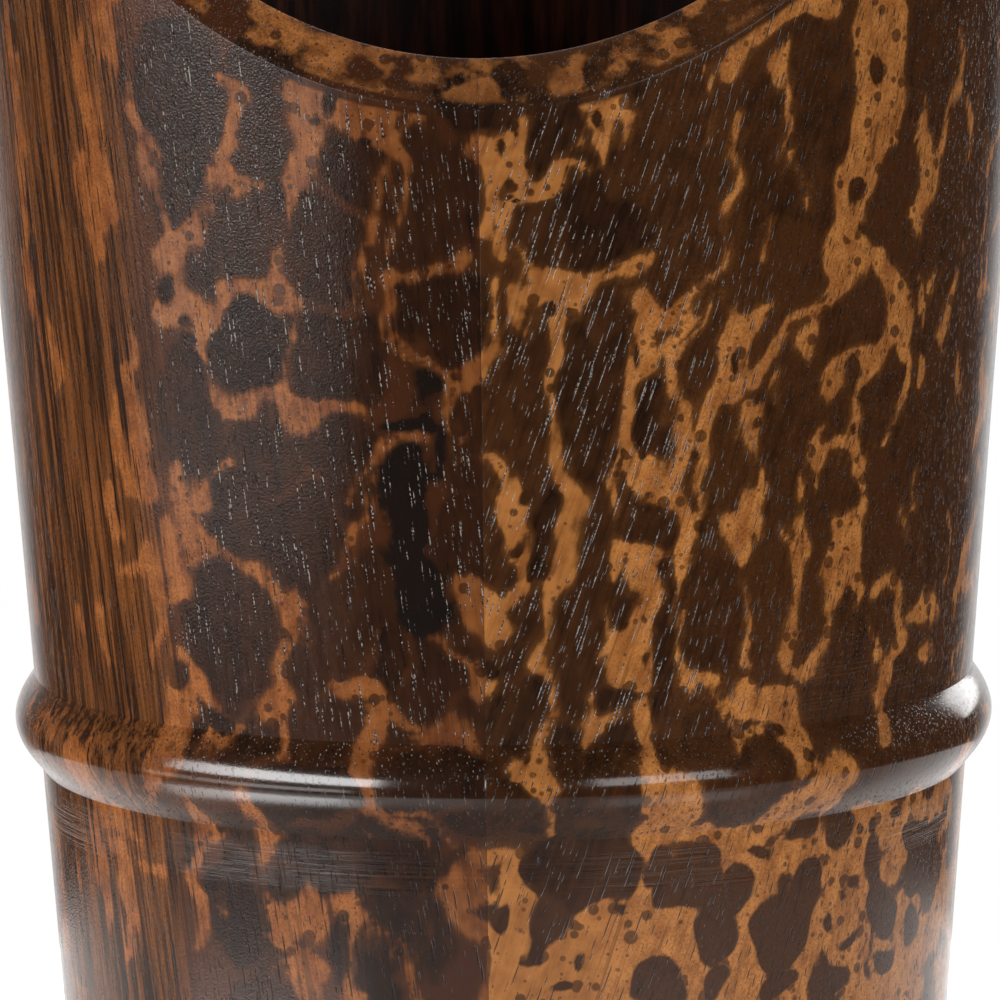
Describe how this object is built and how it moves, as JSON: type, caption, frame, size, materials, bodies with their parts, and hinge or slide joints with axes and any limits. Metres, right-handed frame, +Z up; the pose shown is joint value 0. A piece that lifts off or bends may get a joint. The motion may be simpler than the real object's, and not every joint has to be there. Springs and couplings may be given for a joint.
{
  "type": "ikebana vase",
  "caption": "Turned wooden flower vase with a flaring body, a bead around it, a slanted mouth and a lift-out metal water liner with a wire bail.",
  "frame": {"origin": "centre of the standing face, on the axis of the body", "axes": "+Z up along the axis of the body, the low front of the slanted mouth towards -Y, +X to the right seen from the front"},
  "size_m": [0.1282, 0.1287, 0.3225],
  "materials": {
    "mottled_wood": "orange-brown wood with dark mottled stain under a semi-gloss clear lacquer",
    "plug_wood": "dark stained wood, matt",
    "liner_copper": "sheet copper, tarnished",
    "bail_brass": "drawn brass wire, dulled"
  },
  "bodies": {
    "vase": {"body_half_left": "mottled_wood", "body_half_right": "mottled_wood", "base_plug": "plug_wood"},
    "liner": {"liner_wall": "liner_copper", "liner_floor": "liner_copper", "liner_rim_wire": "bail_brass", "liner_ear_left": "liner_copper", "liner_ear_right": "liner_copper"},
    "bail": {"liner_bail": "bail_brass"}
  },
  "joints": [
    {"name": "liner_lift", "type": "slide", "parent": "vase", "child": "liner", "axis": [0, 0, 1], "range_m": [0, 0.32]},
    {"name": "bail_swing", "type": "hinge", "parent": "liner", "child": "bail", "pos_m": [0, 0, 0.1478], "axis": [-1, 0, 0], "range_deg": [0, 180]}
  ]
}
